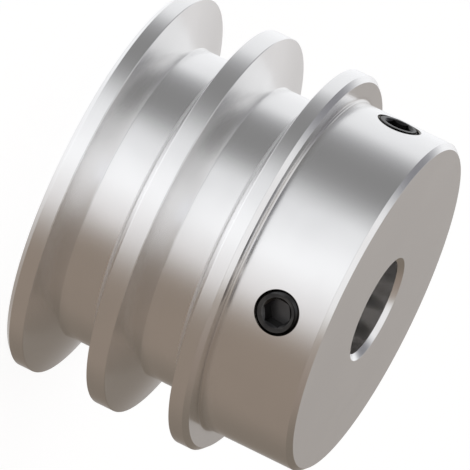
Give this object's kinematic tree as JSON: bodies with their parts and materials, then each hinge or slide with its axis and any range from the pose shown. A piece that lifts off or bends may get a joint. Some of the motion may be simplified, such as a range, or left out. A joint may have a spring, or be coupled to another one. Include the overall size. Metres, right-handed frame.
{
  "type": "round belt pulley",
  "caption": "Turned round belt pulley with V grooves between plain flanges and a plain bored hub, clamped to its shaft by radial set screws.",
  "frame": {"origin": "centre of the back face, the flat face away from the hub, which the pulley stands on", "axes": "+Z along the bore from the back face to the hub's end; the front set screw faces -Y and the side set screw faces -X"},
  "size_m": [0.04, 0.04, 0.03],
  "materials": {
    "turned_aluminium": "fine turned, bright satin",
    "black_oxide_steel": "black oxide, lightly oiled"
  },
  "bodies": {
    "pulley": {"pulley_body": "turned_aluminium"},
    "front_screw": {"set_screw_front": "black_oxide_steel"},
    "side_screw": {"set_screw_side": "black_oxide_steel"}
  },
  "joints": [
    {"name": "front_screw_feed", "type": "slide", "parent": "pulley", "child": "front_screw", "axis": [0, 1, 0], "range_m": [-0.0096, 0.0008]},
    {"name": "side_screw_feed", "type": "slide", "parent": "pulley", "child": "side_screw", "axis": [1, 0, 0], "range_m": [-0.0096, 0.0008]}
  ]
}
